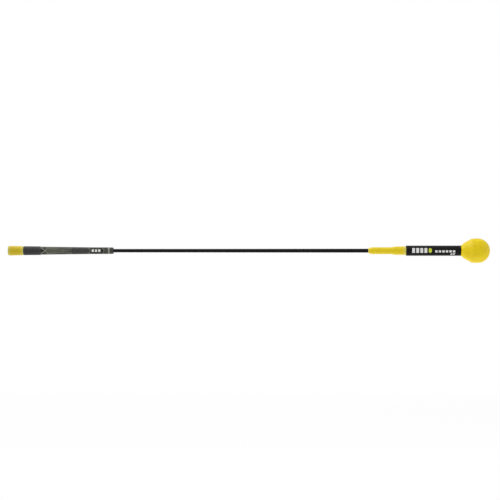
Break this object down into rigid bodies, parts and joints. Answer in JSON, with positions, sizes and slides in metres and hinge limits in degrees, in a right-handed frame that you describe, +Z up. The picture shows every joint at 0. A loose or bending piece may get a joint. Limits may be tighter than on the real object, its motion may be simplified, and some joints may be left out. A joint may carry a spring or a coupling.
{
  "type": "swing trainer stick",
  "caption": "Whippy golf swing trainer: a golf grip with a yellow cap, a tapered black rod, and a weighted head with a soft yellow ball.",
  "frame": {"origin": "middle of the butt end face, at the mouth of the air vent", "axes": "+X along the stick's axis towards the ball, +Z up, the printed side faces -Y"},
  "size_m": [1.2192, 0.0622, 0.0622],
  "materials": {
    "cap_rubber": "satin",
    "collar_rubber": "matte",
    "grip_rubber": "matte",
    "ring_inlay": "satin",
    "grip_tape": "matte",
    "buildup_plastic": "satin",
    "rod_gloss": "gloss",
    "neck_plastic": "satin",
    "weight_steel": "satin",
    "pin_steel": "satin",
    "sleeve_plastic": "satin",
    "ball_vinyl": "satin"
  },
  "bodies": {
    "grip": {"butt_cap": "cap_rubber", "grip_collar": "collar_rubber", "grip_body": "grip_rubber", "grip_ring": "ring_inlay", "grip_tape": "grip_tape", "buildup_sleeve": "buildup_plastic", "rod_butt": "rod_gloss"},
    "link_01": {"rod_link_01": "rod_gloss"},
    "link_02": {"rod_link_02": "rod_gloss"},
    "link_03": {"rod_link_03": "rod_gloss"},
    "link_04": {"rod_link_04": "rod_gloss"},
    "link_05": {"rod_link_05": "rod_gloss"},
    "link_06": {"rod_link_06": "rod_gloss"},
    "link_07": {"rod_link_07": "rod_gloss"},
    "link_08": {"rod_link_08": "rod_gloss"},
    "link_09": {"rod_link_09": "rod_gloss"},
    "link_10": {"rod_link_10": "rod_gloss"},
    "link_11": {"rod_link_11": "rod_gloss"},
    "head": {"rod_tip": "rod_gloss", "neck": "neck_plastic", "weight": "weight_steel", "cross_pins": "pin_steel", "sleeve": "sleeve_plastic", "ball": "ball_vinyl"}
  },
  "joints": [
    {"name": "bend_up_1", "type": "hinge", "parent": "grip", "child": "link_01", "pos_m": [0.29355, 0, 0], "axis": [0, -1, 0], "range_deg": [-8.8, 8.8], "stiffness_Nm_per_rad": 112.2},
    {"name": "bend_side_1", "type": "hinge", "parent": "link_01", "child": "link_02", "pos_m": [0.34724, 0, 0], "axis": [0, 0, 1], "range_deg": [-8.8, 8.8], "stiffness_Nm_per_rad": 117.3},
    {"name": "bend_up_2", "type": "hinge", "parent": "link_02", "child": "link_03", "pos_m": [0.40093, 0, 0], "axis": [0, -1, 0], "range_deg": [-6.97, 6.97], "stiffness_Nm_per_rad": 122.7},
    {"name": "bend_side_2", "type": "hinge", "parent": "link_03", "child": "link_04", "pos_m": [0.45462, 0, 0], "axis": [0, 0, 1], "range_deg": [-6.9, 6.9], "stiffness_Nm_per_rad": 128.2},
    {"name": "bend_up_3", "type": "hinge", "parent": "link_04", "child": "link_05", "pos_m": [0.50831, 0, 0], "axis": [0, -1, 0], "range_deg": [-5.39, 5.39], "stiffness_Nm_per_rad": 133.9},
    {"name": "bend_side_3", "type": "hinge", "parent": "link_05", "child": "link_06", "pos_m": [0.562, 0, 0], "axis": [0, 0, 1], "range_deg": [-5.26, 5.26], "stiffness_Nm_per_rad": 139.7},
    {"name": "bend_up_4", "type": "hinge", "parent": "link_06", "child": "link_07", "pos_m": [0.6157, 0, 0], "axis": [0, -1, 0], "range_deg": [-4.04, 4.04], "stiffness_Nm_per_rad": 145.8},
    {"name": "bend_side_4", "type": "hinge", "parent": "link_07", "child": "link_08", "pos_m": [0.66939, 0, 0], "axis": [0, 0, 1], "range_deg": [-3.85, 3.85], "stiffness_Nm_per_rad": 152.1},
    {"name": "bend_up_5", "type": "hinge", "parent": "link_08", "child": "link_09", "pos_m": [0.72308, 0, 0], "axis": [0, -1, 0], "range_deg": [-2.87, 2.87], "stiffness_Nm_per_rad": 158.6},
    {"name": "bend_side_5", "type": "hinge", "parent": "link_09", "child": "link_10", "pos_m": [0.77677, 0, 0], "axis": [0, 0, 1], "range_deg": [-2.64, 2.64], "stiffness_Nm_per_rad": 165.2},
    {"name": "bend_up_6", "type": "hinge", "parent": "link_10", "child": "link_11", "pos_m": [0.83046, 0, 0], "axis": [0, -1, 0], "range_deg": [-1.87, 1.87], "stiffness_Nm_per_rad": 172.1},
    {"name": "bend_side_6", "type": "hinge", "parent": "link_11", "child": "head", "pos_m": [0.88415, 0, 0], "axis": [0, 0, 1], "range_deg": [-1.6, 1.6], "stiffness_Nm_per_rad": 179.2}
  ],
  "couplings": [
    {"joint": "bend_up_2", "follows": "bend_up_1", "ratio": 0.791},
    {"joint": "bend_side_2", "follows": "bend_side_1", "ratio": 0.783},
    {"joint": "bend_up_3", "follows": "bend_up_1", "ratio": 0.612},
    {"joint": "bend_side_3", "follows": "bend_side_1", "ratio": 0.597},
    {"joint": "bend_up_4", "follows": "bend_up_1", "ratio": 0.458},
    {"joint": "bend_side_4", "follows": "bend_side_1", "ratio": 0.437},
    {"joint": "bend_up_5", "follows": "bend_up_1", "ratio": 0.326},
    {"joint": "bend_side_5", "follows": "bend_side_1", "ratio": 0.299},
    {"joint": "bend_up_6", "follows": "bend_up_1", "ratio": 0.212},
    {"joint": "bend_side_6", "follows": "bend_side_1", "ratio": 0.181}
  ]
}
